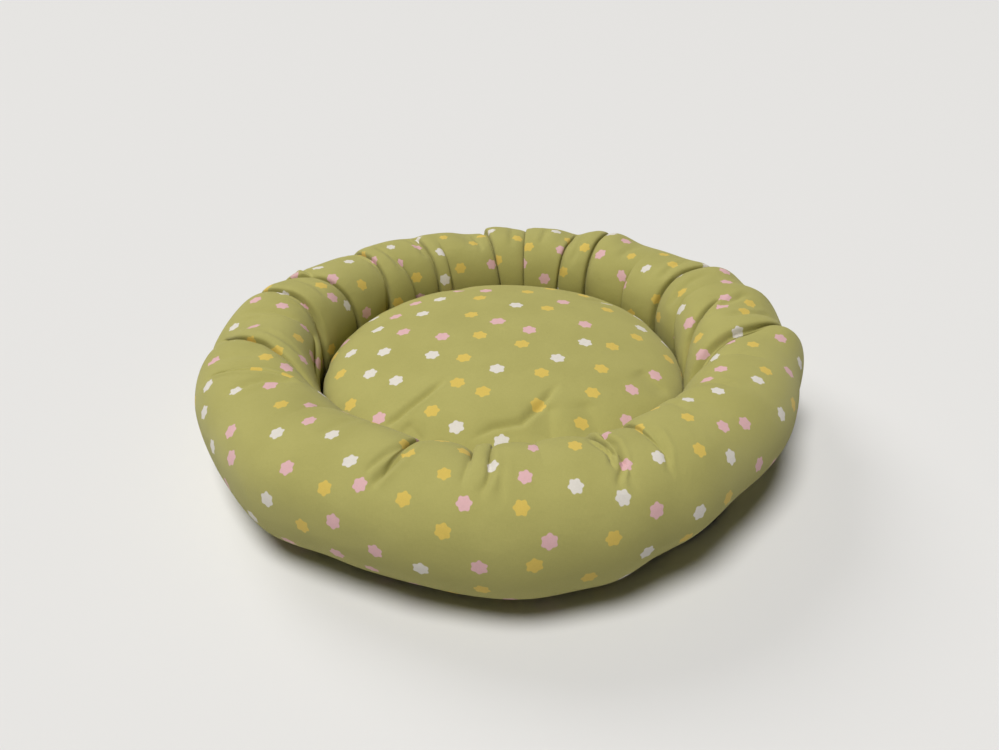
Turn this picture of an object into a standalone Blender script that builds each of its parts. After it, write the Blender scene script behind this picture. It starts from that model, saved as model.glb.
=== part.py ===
"""Round pet bed: a stuffed ring sewn to a padded base, and a loose zipped cushion that fills the nest.

Metres, +Z up. The origin is the centre of the underside, on the surface that the bed stands on.
"""

import math

import bmesh
import bpy
from mathutils import Vector

# Ring
OUTER_RADIUS = 0.300
RIDGE_RADIUS = 0.236
THROAT_RADIUS = 0.190
RING_HEIGHT = 0.125
GIRTH_HEIGHT = 0.078
INNER_SEAM_RADIUS = 0.220
OUTER_SEAM_RADIUS = 0.2455
RING_CLOTH = 0.0012
OUTER_POWER = 2.2
INNER_POWER = 2.0

# Base
FOOT_RADIUS = 0.232
RIM_RADIUS = 0.2435
RIM_HEIGHT = 0.0060
BASE_CLOTH = 0.0012
PAD_RADIUS = 0.210
PAD_THICKNESS = 0.0098
FLOOR_RADIUS = 0.2155
TAPE_RADIUS = 0.2225
TAPE_HEIGHT = 0.004
TAPE_THICKNESS = 0.0008

# Cushion
CUSHION_RADIUS = 0.175
CROWN_HEIGHT = 0.110
SEAM_HEIGHT = 0.040
CUSHION_FLAT_RADIUS = 0.135
DOME_POWER = 3.0
FLANK_POWER = 3.0
CUSHION_CLOTH = 0.0008
LINER_CLOTH = 0.0006
SEAM_GAP = 0.0008
LINER_INSET = 0.0035
FILL_INSET = 0.0050

# Zip, in the cushion's edge at the back
ZIP_MIDDLE = math.radians(90)
ZIP_HALF_ANGLE = math.radians(45)
ZIP_OPENING = 0.009
ZIP_TAPE_OVERLAP = 0.004
ZIP_TAPE_THICKNESS = 0.0007
COIL_RADIUS = 0.0009
SLIDER_PARKED = math.radians(-42.5)
SLIDER_LENGTH = 0.0085
SLIDER_WIDTH = 0.0080
SLIDER_PLATE = 0.0015
LIP_WIDTH = 0.0013
LUG_THICKNESS = 0.0009
LUG_LENGTH = 0.0030
LUG_SPACING = 0.0038
BAR_RADIUS = 0.0006
BAR_OFFSET = 0.0025
BAR_SIDES = 16
PULL_LENGTH = 0.0115
PULL_NECK = 0.0050
PULL_THICKNESS = 0.0010
PULL_GRIP_WIDTH = 0.0056
PULL_EYE_WIDTH = 0.0030
PULL_EYE_WALL = 0.0006
STOP_LENGTH = 0.0020
METAL_ROUNDING = 0.0003
CUTTER_MARGIN = 0.0050
BAND_STEPS = 24

SEGMENTS = 48
QUARTER_STEPS = 4
COVER_STEPS = (8, 6)
LINER_STEPS = (5, 4)
GAP = 0.0003
MERGE = 0.0001


def material(name, colour, roughness, metallic=0.0):
    made = bpy.data.materials.new(name)
    made.use_nodes = True
    shader = made.node_tree.nodes["Principled BSDF"]
    shader.inputs["Base Color"].default_value = (*colour, 1.0)
    shader.inputs["Roughness"].default_value = roughness
    shader.inputs["Metallic"].default_value = metallic
    made.diffuse_color = (*colour, 1.0)
    return made


def collection(name):
    made = bpy.data.collections.new(name)
    bpy.context.scene.collection.children.link(made)
    return made


def new_object(name, mesh, look, parent=None):
    made = bpy.data.objects.new(name, mesh)
    mesh.materials.append(look)
    parts.objects.link(made)
    made.parent = parent
    return made


def mesh_of(shape, name):
    mesh = bpy.data.meshes.new(name)
    shape.to_mesh(mesh)
    shape.free()
    return mesh


def quarter(start, end, power, steps=QUARTER_STEPS, upright_first=True):
    """Points (radius, height) on a quarter of a superellipse; upright_first leaves start vertically."""
    points = []
    for step in range(steps + 1):
        angle = 0.5 * math.pi * step / steps
        slow = 1.0 - math.cos(angle) ** (2.0 / power) if step < steps else 1.0
        fast = math.sin(angle) ** (2.0 / power)
        along_r, along_z = (slow, fast) if upright_first else (fast, slow)
        points.append((start[0] + (end[0] - start[0]) * along_r, start[1] + (end[1] - start[1]) * along_z))
    return points


def joined(*stretches):
    """One outline from stretches that each start where the last one ends."""
    outline = list(stretches[0])
    for stretch in stretches[1:]:
        outline.extend(stretch[1:])
    return outline


def inset(outline, distance):
    """The outline moved to its inner side, along the mean normal of each point's two edges."""
    moved = []
    for index, (radius, height) in enumerate(outline):
        before = outline[max(index - 1, 0)]
        after = outline[min(index + 1, len(outline) - 1)]
        run = Vector((after[0] - before[0], after[1] - before[1])).normalized()
        moved.append((radius + run.y * distance, height - run.x * distance))
    return moved


def turned(name, outline, look, cloth=None, loop=False, parent=None):
    """A ring or disc turned from an outline; cloth is the thickness of one that is an open sheet."""
    shape = bmesh.new()
    corners = [shape.verts.new((radius, 0.0, height)) for radius, height in outline]
    for first, second in zip(corners, corners[1:]):
        shape.edges.new((first, second))
    if loop:
        shape.edges.new((corners[-1], corners[0]))
    made = new_object(name, mesh_of(shape, name), look, parent)
    screw = made.modifiers.new("turn", "SCREW")
    screw.axis = "Z"
    screw.steps = SEGMENTS
    screw.render_steps = SEGMENTS
    screw.use_merge_vertices = True
    screw.merge_threshold = MERGE
    screw.use_smooth_shade = True
    if cloth:
        thicken(made, cloth)
    return made


def thicken(made, cloth):
    solidify = made.modifiers.new("cloth", "SOLIDIFY")
    solidify.thickness = cloth
    solidify.offset = -1.0


def cylinder(name, radius, low, high, look, parent=None):
    bpy.ops.mesh.primitive_cylinder_add(vertices=SEGMENTS, radius=radius, depth=high - low)
    made = bpy.context.object
    made.name = name
    made.data.name = name
    made.location.z = 0.5 * (low + high)
    return adopt(made, look, parent)


def adopt(made, look, parent=None):
    """Moves an object that a primitive made into the bed's collection."""
    for owner in list(made.users_collection):
        owner.objects.unlink(made)
    parts.objects.link(made)
    made.data.materials.clear()
    made.data.materials.append(look)
    made.parent = parent
    return made


def box(name, size, centre, look, parent=None, rounding=0.0):
    """A box whose size and centre are (outward, along the zip, up) in its parent's axes."""
    shape = bmesh.new()
    bmesh.ops.create_cube(shape, size=1.0)
    bmesh.ops.scale(shape, vec=size, verts=shape.verts)
    bmesh.ops.translate(shape, vec=centre, verts=shape.verts)
    made = new_object(name, mesh_of(shape, name), look, parent)
    if rounding:
        bevel = made.modifiers.new("rounding", "BEVEL")
        bevel.width = rounding
        bevel.segments = 2
    return made


def arc_points(radius, height, half_angle):
    """Points along the zip, on a circle about the cushion's middle."""
    points = []
    for step in range(BAND_STEPS + 1):
        angle = ZIP_MIDDLE - half_angle + 2.0 * half_angle * step / BAND_STEPS
        points.append(Vector((radius * math.cos(angle), radius * math.sin(angle), height)))
    return points


def arc_band(name, outer_radius, thickness, low, high, half_angle, look, parent=None):
    """An upright band that follows the zip."""
    shape = bmesh.new()
    corners = [shape.verts.new(point) for point in arc_points(outer_radius, low, half_angle)]
    edges = [shape.edges.new(pair) for pair in zip(corners, corners[1:])]
    raised = bmesh.ops.extrude_edge_only(shape, edges=edges)["geom"]
    tops = [item for item in raised if isinstance(item, bmesh.types.BMVert)]
    bmesh.ops.translate(shape, vec=(0.0, 0.0, high - low), verts=tops)
    for face in shape.faces:
        face.normal_update()
        outward = face.calc_center_median().xy
        if face.normal.xy.dot(outward) < 0.0:
            face.normal_flip()
    made = new_object(name, mesh_of(shape, name), look, parent)
    thicken(made, thickness)
    return made


def as_tool(made):
    """Keeps a cutter or a joined piece out of the finished object."""
    parts.objects.unlink(made)
    tools.objects.link(made)
    made.hide_render = True
    made.display_type = "WIRE"
    return made


def combine(made, tool, operation):
    boolean = made.modifiers.new(tool.name, "BOOLEAN")
    boolean.operation = operation
    boolean.object = tool
    boolean.solver = "EXACT"


def ring_outline():
    """From the inner seam up over the ridge and down to the outer seam."""
    inner_seam = (INNER_SEAM_RADIUS, BASE_TOP + GAP)
    throat = (THROAT_RADIUS, GIRTH_HEIGHT)
    ridge = (RIDGE_RADIUS, RING_HEIGHT)
    girth = (OUTER_RADIUS, GIRTH_HEIGHT)
    outer_seam = (OUTER_SEAM_RADIUS, RIM_HEIGHT + GAP)
    return joined(
        quarter(inner_seam, throat, INNER_POWER, upright_first=False),
        quarter(throat, ridge, OUTER_POWER),
        quarter(ridge, girth, OUTER_POWER, upright_first=False),
        quarter(girth, outer_seam, OUTER_POWER),
    )


def bolster(parent):
    outline = ring_outline()
    turned("bolster_cover", outline, print_cotton, RING_CLOTH, parent=parent)
    above_rim = RIM_HEIGHT + RING_CLOTH + 3.0 * GAP
    foot_height = BASE_CLOTH + 2.0 * GAP
    beside_tape = TAPE_RADIUS + TAPE_THICKNESS + 2.0 * GAP
    stuffed = inset(outline, RING_CLOTH + 2.0 * GAP)[1:-1]
    stuffed = [(radius, max(height, above_rim)) for radius, height in stuffed]
    stuffed.append((RIM_RADIUS - BASE_CLOTH - 3.0 * GAP, above_rim))
    stuffed.append((FOOT_RADIUS - BASE_CLOTH, foot_height))
    stuffed.append((beside_tape, foot_height))
    stuffed.append((beside_tape, BASE_TOP + TAPE_HEIGHT + 3.0 * GAP))
    turned("bolster_fill", stuffed, fibre, loop=True, parent=parent)


def gather_tape(parent):
    low = BASE_TOP + GAP
    high = low + TAPE_HEIGHT
    inner = TAPE_RADIUS
    outer = TAPE_RADIUS + TAPE_THICKNESS
    section = [(inner, high), (outer, high), (outer, low), (inner, low)]
    turned("gather_tape", section, tape, loop=True, parent=parent)


def base(parent):
    rim = quarter((RIM_RADIUS, RIM_HEIGHT), (FOOT_RADIUS, 0.0), 2.0, steps=3)
    turned("base_bottom_panel", rim + [(0.0, 0.0)], grip_cloth, BASE_CLOTH, parent=parent)
    pad_low = BASE_CLOTH + GAP
    cylinder("base_pad", PAD_RADIUS, pad_low, pad_low + PAD_THICKNESS, fibre, parent)
    cylinder("base_top_panel", FLOOR_RADIUS, BASE_TOP - BASE_CLOTH, BASE_TOP, print_cotton, parent)


def dome_outline(radius, crown, seam, steps):
    """From the crown out and down to the seam."""
    return quarter((0.0, crown), (radius, seam), DOME_POWER, steps, upright_first=False)


def underside_outline(radius, seam, low, steps):
    """From the seam down and in to the flat middle."""
    flank = quarter((radius, seam), (CUSHION_FLAT_RADIUS, low), FLANK_POWER, steps)
    return flank + [(0.0, low)]


def case(inset_by, steps, seam_gap):
    """Outlines of a round case for the cushion, inset by a distance, as (upper half, lower half)."""
    radius = CUSHION_RADIUS - inset_by
    upper = dome_outline(radius, CROWN_HEIGHT - inset_by, SEAM_HEIGHT + 0.5 * seam_gap, steps[0])
    lower = underside_outline(radius, SEAM_HEIGHT - 0.5 * seam_gap, CUSHION_LOW + inset_by, steps[1])
    return upper, lower


def cushion_cover(parent):
    upper, lower = case(0.0, COVER_STEPS, SEAM_GAP)
    top = turned("cushion_top_panel", upper, print_cotton, CUSHION_CLOTH, parent=parent)
    bottom = turned("cushion_bottom_panel", lower, print_cotton, CUSHION_CLOTH, parent=parent)
    return top, bottom


def cushion_liner(parent):
    upper, lower = case(LINER_INSET, LINER_STEPS, SEAM_GAP)
    turned("liner_top", upper, liner_cloth, LINER_CLOTH, parent=parent)
    turned("liner_bottom", lower, liner_cloth, LINER_CLOTH, parent=parent)


def cushion_fill(parent):
    upper, lower = case(FILL_INSET, LINER_STEPS, 0.0)
    turned("cushion_fill", joined(upper, lower), fibre, parent=parent)


def zip_opening(panels):
    """Cuts the cover's edges back along the zip."""
    outside = CUSHION_RADIUS + CUTTER_MARGIN
    depth = 2.0 * CUTTER_MARGIN + CUSHION_CLOTH
    low = SEAM_HEIGHT - 0.5 * ZIP_OPENING
    high = SEAM_HEIGHT + 0.5 * ZIP_OPENING
    cutter = as_tool(arc_band("zip_opening", outside, depth, low, high, ZIP_HALF_ANGLE, tape))
    for panel in panels:
        combine(panel, cutter, "DIFFERENCE")


def zip_tapes(parent):
    """Two tapes, each sewn inside one edge of the opening."""
    near = 0.5 * GAP + COIL_RADIUS
    far = 0.5 * ZIP_OPENING + ZIP_TAPE_OVERLAP
    for name, side in (("zip_tape_upper", 1.0), ("zip_tape_lower", -1.0)):
        low, high = sorted((SEAM_HEIGHT + side * near, SEAM_HEIGHT + side * far))
        arc_band(name, TAPE_FACE_RADIUS, ZIP_TAPE_THICKNESS, low, high, ZIP_HALF_ANGLE, tape, parent)


def zip_coils(parent):
    """Two rows of coil, shut against each other in front of the tapes."""
    half_angle = ZIP_HALF_ANGLE - (STOP_LENGTH + 2.0 * GAP) / CUSHION_RADIUS
    for name, side in (("zip_coil_upper", 1.0), ("zip_coil_lower", -1.0)):
        height = SEAM_HEIGHT + side * (COIL_RADIUS + GAP)
        path = bpy.data.curves.new(name, "CURVE")
        path.dimensions = "3D"
        path.bevel_depth = COIL_RADIUS
        path.bevel_resolution = 2
        path.use_fill_caps = True
        points = arc_points(COIL_LINE_RADIUS, height, half_angle)
        spline = path.splines.new("POLY")
        spline.points.add(len(points) - 1)
        for target, point in zip(spline.points, points):
            target.co = (*point, 1.0)
        new_object(name, path, nylon, parent)


def zip_stops(parent):
    """A metal clip over both rows at each end of the zip."""
    size = (2.0 * COIL_RADIUS + GAP, STOP_LENGTH, 4.0 * COIL_RADIUS + 2.0 * GAP)
    centre = (COIL_LINE_RADIUS, 0.0, SEAM_HEIGHT)
    for name, side in (("zip_stop_closed", -1.0), ("zip_stop_open", 1.0)):
        made = box(name, size, centre, zip_metal, parent, METAL_ROUNDING)
        made.rotation_euler.z = ZIP_MIDDLE + side * (ZIP_HALF_ANGLE - 0.5 * STOP_LENGTH / CUSHION_RADIUS)


def slider_axes(parent):
    """An empty on the cushion's own axis, turned to where the slider is parked: +X there points outward."""
    axes = bpy.data.objects.new("zip_slider_axes", None)
    parts.objects.link(axes)
    axes.parent = parent
    axes.rotation_euler.z = ZIP_MIDDLE + SLIDER_PARKED
    return axes


def upright_pin(name, radius, length, centre, parent):
    shape = bmesh.new()
    bmesh.ops.create_cone(
        shape, cap_ends=True, segments=BAR_SIDES, radius1=radius, radius2=radius, depth=length,
    )
    bmesh.ops.translate(shape, vec=centre, verts=shape.verts)
    return new_object(name, mesh_of(shape, name), zip_metal, parent)


def zip_slider(axes):
    """A channel over both rows, with two lugs and the bar that the pull swings on."""
    plate_middle = SLIDER_FACE_RADIUS - 0.5 * SLIDER_PLATE
    plate_size = (SLIDER_PLATE, SLIDER_LENGTH, SLIDER_WIDTH)
    plate_centre = (plate_middle, 0.0, SEAM_HEIGHT)
    slider = box("zip_slider", plate_size, plate_centre, zip_metal, axes, METAL_ROUNDING)

    lip_inner = TAPE_FACE_RADIUS + GAP
    lip_size = (plate_middle - lip_inner, SLIDER_LENGTH - 4.0 * GAP, LIP_WIDTH)
    lip_middle = 0.5 * (plate_middle + lip_inner)
    lip_rise = 0.5 * (SLIDER_WIDTH - LIP_WIDTH) - GAP
    lug_size = (BAR_OFFSET + 2.0 * BAR_RADIUS + 0.5 * SLIDER_PLATE, LUG_LENGTH, LUG_THICKNESS)
    lug_middle = plate_middle + 0.5 * lug_size[0]
    lug_rise = 0.5 * (LUG_SPACING + LUG_THICKNESS)
    for side in (-1.0, 1.0):
        lip = box("slider_lip", lip_size, (lip_middle, 0.0, SEAM_HEIGHT + side * lip_rise), zip_metal, axes)
        combine(slider, as_tool(lip), "UNION")
        lug = box("slider_lug", lug_size, (lug_middle, 0.0, SEAM_HEIGHT + side * lug_rise), zip_metal, axes)
        combine(slider, as_tool(lug), "UNION")

    bar_length = LUG_SPACING + LUG_THICKNESS
    bar = upright_pin("slider_bar", BAR_RADIUS, bar_length, (BAR_LINE_RADIUS, 0.0, SEAM_HEIGHT), axes)
    combine(slider, as_tool(bar), "UNION")


def zip_pull(axes):
    """A flat tab that lies along the zip, with an eye round the slider's bar. Its origin is the bar."""
    hole_radius = BAR_RADIUS + GAP
    eye_radius = hole_radius + PULL_EYE_WALL
    pull = upright_pin("zip_pull", eye_radius, PULL_EYE_WIDTH, (0.0, 0.0, 0.0), axes)
    pull.location = (BAR_LINE_RADIUS, 0.0, SEAM_HEIGHT)

    neck_start = hole_radius + 0.5 * PULL_EYE_WALL
    neck_size = (PULL_THICKNESS, PULL_NECK - neck_start, PULL_EYE_WIDTH)
    neck = box("pull_neck", neck_size, (0.0, 0.5 * (PULL_NECK + neck_start), 0.0), zip_metal, pull)
    combine(pull, as_tool(neck), "UNION")

    grip_start = PULL_NECK - eye_radius
    grip_size = (PULL_THICKNESS, PULL_LENGTH - grip_start, PULL_GRIP_WIDTH)
    grip_centre = (0.0, 0.5 * (PULL_LENGTH + grip_start), 0.0)
    grip = box("pull_grip", grip_size, grip_centre, zip_metal, pull, METAL_ROUNDING)
    combine(pull, as_tool(grip), "UNION")

    hole = upright_pin("pull_hole", hole_radius, 2.0 * PULL_EYE_WIDTH, (0.0, 0.0, 0.0), pull)
    combine(pull, as_tool(hole), "DIFFERENCE")


# Heights and radii that follow from the dimensions above
BASE_TOP = BASE_CLOTH + GAP + PAD_THICKNESS + GAP + BASE_CLOTH
CUSHION_LOW = BASE_TOP + 2.0 * GAP
TAPE_FACE_RADIUS = CUSHION_RADIUS - CUSHION_CLOTH - 4.0 * GAP
COIL_LINE_RADIUS = TAPE_FACE_RADIUS + GAP + COIL_RADIUS
SLIDER_FACE_RADIUS = COIL_LINE_RADIUS + COIL_RADIUS + GAP + SLIDER_PLATE
BAR_LINE_RADIUS = SLIDER_FACE_RADIUS + BAR_OFFSET

for leftover in list(bpy.data.objects):
    bpy.data.objects.remove(leftover)

parts = collection("pet_cushion_bed")
tools = collection("cutters")

print_cotton = material("print_cotton", (0.42, 0.40, 0.13), 0.85)
fibre = material("fibre", (0.86, 0.86, 0.84), 0.95)
tape = material("tape", (0.36, 0.34, 0.12), 0.80)
grip_cloth = material("grip_cloth", (0.015, 0.015, 0.016), 0.75)
liner_cloth = material("liner_cloth", (0.82, 0.82, 0.79), 0.90)
nylon = material("nylon", (0.40, 0.38, 0.14), 0.45)
zip_metal = material("zip_metal", (0.62, 0.60, 0.55), 0.35, 1.0)

bed = bpy.data.objects.new("bed", None)
parts.objects.link(bed)
cushion = bpy.data.objects.new("cushion", None)
parts.objects.link(cushion)

bolster(bed)
gather_tape(bed)
base(bed)
zip_opening(cushion_cover(cushion))
cushion_liner(cushion)
cushion_fill(cushion)
zip_tapes(cushion)
zip_coils(cushion)
zip_stops(cushion)
parked = slider_axes(cushion)
zip_slider(parked)
zip_pull(parked)
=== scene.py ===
"""Looks of the round pet cushion bed: gathered ring, padded base and loose zipped cushion."""

import math

import bpy
import numpy as np
from mathutils import Matrix, Vector


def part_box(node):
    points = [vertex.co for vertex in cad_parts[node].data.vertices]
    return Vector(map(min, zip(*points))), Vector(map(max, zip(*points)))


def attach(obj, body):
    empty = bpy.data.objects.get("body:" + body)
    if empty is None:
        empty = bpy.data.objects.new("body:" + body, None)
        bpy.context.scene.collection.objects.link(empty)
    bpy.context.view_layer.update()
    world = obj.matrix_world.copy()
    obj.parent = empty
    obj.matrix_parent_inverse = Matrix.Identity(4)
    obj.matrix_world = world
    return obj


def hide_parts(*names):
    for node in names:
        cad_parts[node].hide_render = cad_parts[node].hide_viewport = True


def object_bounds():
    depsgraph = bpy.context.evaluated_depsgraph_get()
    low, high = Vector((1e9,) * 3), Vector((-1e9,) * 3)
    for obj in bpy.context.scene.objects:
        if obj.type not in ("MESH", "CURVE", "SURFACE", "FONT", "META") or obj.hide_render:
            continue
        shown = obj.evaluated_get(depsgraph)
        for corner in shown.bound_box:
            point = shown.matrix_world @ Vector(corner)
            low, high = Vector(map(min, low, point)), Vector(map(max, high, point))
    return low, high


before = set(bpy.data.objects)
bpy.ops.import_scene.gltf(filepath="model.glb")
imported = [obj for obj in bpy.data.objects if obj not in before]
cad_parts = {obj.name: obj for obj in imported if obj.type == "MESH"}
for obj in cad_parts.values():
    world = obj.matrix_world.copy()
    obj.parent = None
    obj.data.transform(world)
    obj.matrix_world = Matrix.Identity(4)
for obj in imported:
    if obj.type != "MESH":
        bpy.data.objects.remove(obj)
cad_low, cad_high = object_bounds()

# ---- places read from the frame ----
OUTER = cad_high[0]
FLOOR_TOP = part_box("base_top_panel")[1][2]
slider_low, slider_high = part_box("zip_slider")
EDGE_HEIGHT = 0.5 * (slider_low[2] + slider_high[2])

MM = 0.001

# ---- ring: metres, and degrees round the ring and round its tube ----
AROUND = 760
ACROSS = 190
FEWEST_COLUMNS = 8
CROWDING = 0.62
RIDGE = 0.236
THROAT = 0.1885
GIRTH_HEIGHT = 0.070
TOP_HEIGHT = 0.1225
OUTER_SEAM = (0.2465, 0.0045)
INNER_SEAM = (0.2215, 0.0140)
TUBE_POWER = 2.2
LOWEST_CLOTH = 0.0030
FILL_INSET = 0.018
FILL_LOWEST = 0.008

# The share of the ring's unroundness that its ridge follows, and the tube angles between which
# the lower wall tucks in.
RIDGE_SHARE = 0.35
TUCK_FADES_IN = (-92.0, -50.0)
TUCK_FADES_OUT = (0.0, -45.0)

# Slow waves in the cover: their height, then the seed, how many are added, and the most waves
# round the ring. They fade out towards the two seams.
COVER_WAVES = ((0.0019, (3, 9, 9)), (0.0010, (5, 12, 26)))
OUTER_SLACK = (-90.0, -20.0)
INNER_SLACK = (270.0, 200.0)

# On the inner side the cover puffs out between two pleats, more where they are further apart.
PUFF = 0.0032
PUFF_SPAN = 14.0
PUFF_SPAN_LIMITS = (0.3, 1.2)
PUFF_ROUNDNESS = 0.7
PUFF_MEAN = 0.55
PUFF_STARTS = (60.0, 150.0)
PUFF_ENDS = (262.0, 225.0)

# Where a pleat shows, in degrees of tube before and after its outer end: its fold, the broad
# valley that leads to it, and the break in the print. All end at the inner seam.
PLEAT_STARTS = (8.0, 30.0)
HINT_STARTS = (44.0, 14.0)
CUT_STARTS = (12.0, 26.0)
INNER_END = (262.0, 238.0)
PLEAT_FOOT = 200.0
PLEAT_BEND = 1.25

# A pleat's section. On one side the cloth falls into it, steeply and then over a longer run-in.
# On the other it stands up a step, laps over and curls sideways. Slope and step are drawn.
PLEAT_SEED = 8
PLEAT_SLOPE = (0.0013, 0.0034)
PLEAT_STEP = (0.0020, 0.0048)
FIRM_DEPTH = 0.008
VALLEY_SHARE = 0.70
HINT_SHARE = 0.18
HINT_WIDTHS = (0.019, 0.007)
STEEP_SHARE = 0.72
RUN_IN = 0.0075
LAP_EDGE = 0.0012
LAP_LENGTH = 0.018
LAP_ROUNDING = 0.0016
CURL = 0.0036
CURL_AT = 0.0032
CURL_WIDTH = 0.0034

# A short fold's section, in fold widths: a valley, steep on one side, with a low ridge there.
# Its ends fade over degrees of tube past its first and last place.
FOLD_STEEP = 1.6
FOLD_ROUND = 0.6
FOLD_RIDGE = 0.35
FOLD_RIDGE_AT = 2.1
FOLD_RIDGE_WIDTH = 0.9
FOLD_START = (-12.0, 8.0)
FOLD_END = (14.0, -8.0)

# The seam where the cover's ends are joined, at the back.
JOIN_SEAM = 95.0
JOIN_SEAM_DEPTH = 0.0014
JOIN_SEAM_WIDTH = 0.0022

# How far the ring stands out of a true circle, and how far its lower wall tucks in, in mm, at
# every 15 degrees from +X towards the back.
STAND_OUT = (3, 11, 11, 5, 7, -2, -3, -7, 0, -2, 4, 8, 6, 7, 1, 2, -4, -2, 4, 2, -4, -12, -9, -9)
TUCK_IN = (0, 0, 0, 0, 0, 0, 0, 0, 0, 0, 0, 0, 0, 0, 1, 1, 8, 6, 2, 4, 12, 37, 26, 3)

# Each pleat: azimuth at the inner seam, azimuth at its outer end, the tube angle it reaches out
# to (0 outermost, 90 on top, 180 innermost), depth in mm, and which neighbour laps over it. They
# go round from the back, and azimuths run on past 360.
PLEATS = (
    (89, 94.7, 34, 13, -1), (108.5, 109.5, 108, 8, 1), (112, 114, 62, 12, -1), (122, 125, 118, 9, 1),
    (133, 130.3, 42, 12, -1), (137, 133, 122, 8, 1), (147.5, 151.4, 34, 12, -1), (171, 158.8, 32, 14, -1),
    (186, 168, 142, 6, 1), (201, 174, 150, 6, -1), (216, 178, 38, 13, -1), (223, 196, 46, 10, 1),
    (237, 222, 112, 6, 1), (250, 249, 62, 6, -1), (264.6, 263.6, 90, 17, 1), (267.5, 267, 74, 4, -1),
    (277, 277, 110, 3, 1), (288.5, 290, 78, 17, 1), (293, 291, 62, 6, -1), (302, 299, 64, 6, 1),
    (318, 317, 110, 5, -1), (325, 327, 124, 6, 1), (330, 342, 72, 8, -1), (334, 357, 70, 12, 1),
    (339, 363, 26, 14, 1), (354, 371, 96, 13, 1), (368, 379, 126, 6, -1), (389, 391.8, 36, 14, 1),
    (402, 404, 126, 5, -1), (420, 421.2, 38, 14, 1), (430.5, 429.4, 58, 9, 1), (441, 442.8, 44, 11, -1),
)

# Short folds between the pleats: the places each passes (azimuth, tube angle), with its depth
# and its width in mm.
FOLDS = (
    (((197, 52), (203, 87), (210, 118)), 5.0, 2.6),
    (((206.4, 62), (207, 85), (210, 100)), 3.6, 4.0),
    (((172, 66), (174, 112)), 2.0, 3.0),
    (((147, 54), (150, 86)), 4.5, 2.4),
    (((155, 78), (158, 120)), 1.8, 3.0),
    (((127, 84), (126, 128)), 2.6, 3.0),
    (((134, 66), (133, 104)), 2.6, 2.4),
    (((117, 72), (116, 120)), 2.0, 3.0),
    (((98, 76), (97, 120)), 2.0, 2.6),
    (((87, 70), (87, 112)), 1.8, 3.0),
    (((77, 72), (77, 108)), 2.6, 3.0),
    (((65, 84), (65, 132)), 2.2, 3.0),
    (((50, 80), (50, 112)), 1.6, 4.0),
    (((35, 72), (33, 116)), 2.4, 3.0),
    (((24, 88), (22, 140)), 2.6, 4.0),
    (((7, 52), (2, 96)), 3.4, 3.0),
    (((12, 74), (5, 118)), 2.6, 3.5),
    (((326, 84), (325, 118)), 1.6, 4.5),
    (((298, 55), (299.5, 68), (300.6, 84)), 2.4, 2.6),
    (((288.6, 58), (290.8, 72), (292, 90), (291, 104)), 3.6, 2.4),
    (((289, 74), (289.6, 84), (288, 98)), 5.0, 1.6),
    (((269.6, 58), (269.8, 84)), 1.6, 2.4),
    (((266.4, 62), (267.8, 80), (266.8, 104)), 3.0, 2.8),
    (((263.0, 72), (263.4, 94)), 2.0, 2.4),
    (((248.4, 56), (250.2, 82), (251.2, 108)), 3.4, 3.2),
    (((246.4, 66), (248.4, 90), (249.4, 112)), 2.8, 2.6),
    (((233, 84), (234, 116)), 1.8, 4.5),
    (((190, 44), (195, 84)), 2.0, 4.5),
    (((184, 90), (192, 140)), 2.4, 3.0),
    (((164, 84), (167, 130)), 2.4, 3.0),
    (((312, 92), (314, 122)), 1.6, 3.5),
)

# Swells and dips of the cover near the ridge: azimuth, tube angle, height in mm, width in degrees.
SWELLS = (
    (58, 72, 7, 5), (26, 66, 6, 4), (15, 56, 5, 4), (7, 50, -4, 3), (-2, 48, 8, 4), (163, 64, 4, 5),
    (177, 60, -7, 6), (99, 84, -6, 4), (70, 84, -6, 3),
)
SWELL_REACH = 32.0


def smooth(low, high, value):
    t = np.clip((value - low) / (high - low), 0.0, 1.0)
    return t * t * (3.0 - 2.0 * t)


def away_from(middle, degrees):
    """Degrees from a middle azimuth, -180 to 180."""
    return (degrees - middle + 180.0) % 360.0 - 180.0


def azimuths(count):
    """Evenly spaced azimuths round the whole ring, as a column."""
    return np.linspace(0.0, 2.0 * np.pi, count, endpoint=False)[:, None]


def placed(azimuth, radius, height):
    """Points from their azimuth, radius and height, with x, y and z along a last axis."""
    axes = np.broadcast_arrays(radius * np.cos(azimuth), radius * np.sin(azimuth), height)
    return np.stack(axes, axis=-1)


def quarter_power(value):
    """A superellipse's half axis: the sign of value kept, its size bent outwards."""
    return np.sign(value) * np.abs(value) ** (2.0 / TUBE_POWER)


def round_table(table, azimuth_degrees):
    """A table of evenly spaced values round the ring, read between its entries."""
    table = np.array(table, float)
    step = 360.0 / len(table)
    place = (azimuth_degrees / step) % len(table)
    first = np.floor(place).astype(int) % len(table)
    share = place - np.floor(place)
    share = share * share * (3.0 - 2.0 * share)
    return table[first] * (1.0 - share) + table[(first + 1) % len(table)] * share


def ripples(azimuth, tube, seed, count, most_waves):
    """A slow unevenness that closes round the ring, about -1 to 1."""
    draw = np.random.default_rng(seed)
    total = np.zeros(np.broadcast(azimuth, tube).shape)
    for _ in range(count):
        waves = draw.integers(2, most_waves)
        turns = draw.uniform(0.5, 2.5)
        phase = draw.uniform(0.0, 2.0 * np.pi)
        total += draw.uniform(0.5, 1.0) * np.sin(waves * azimuth + turns * tube + phase)
    return total / math.sqrt(count)


def normals(points):
    """Unit normals of a grid that closes round the ring, pointing out of the padding."""
    along = np.roll(points, -1, 0) - np.roll(points, 1, 0)
    across = np.gradient(points, axis=1)
    normal = np.cross(along, across)
    return normal / np.maximum(np.linalg.norm(normal, axis=2, keepdims=True), 1e-12)


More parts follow.
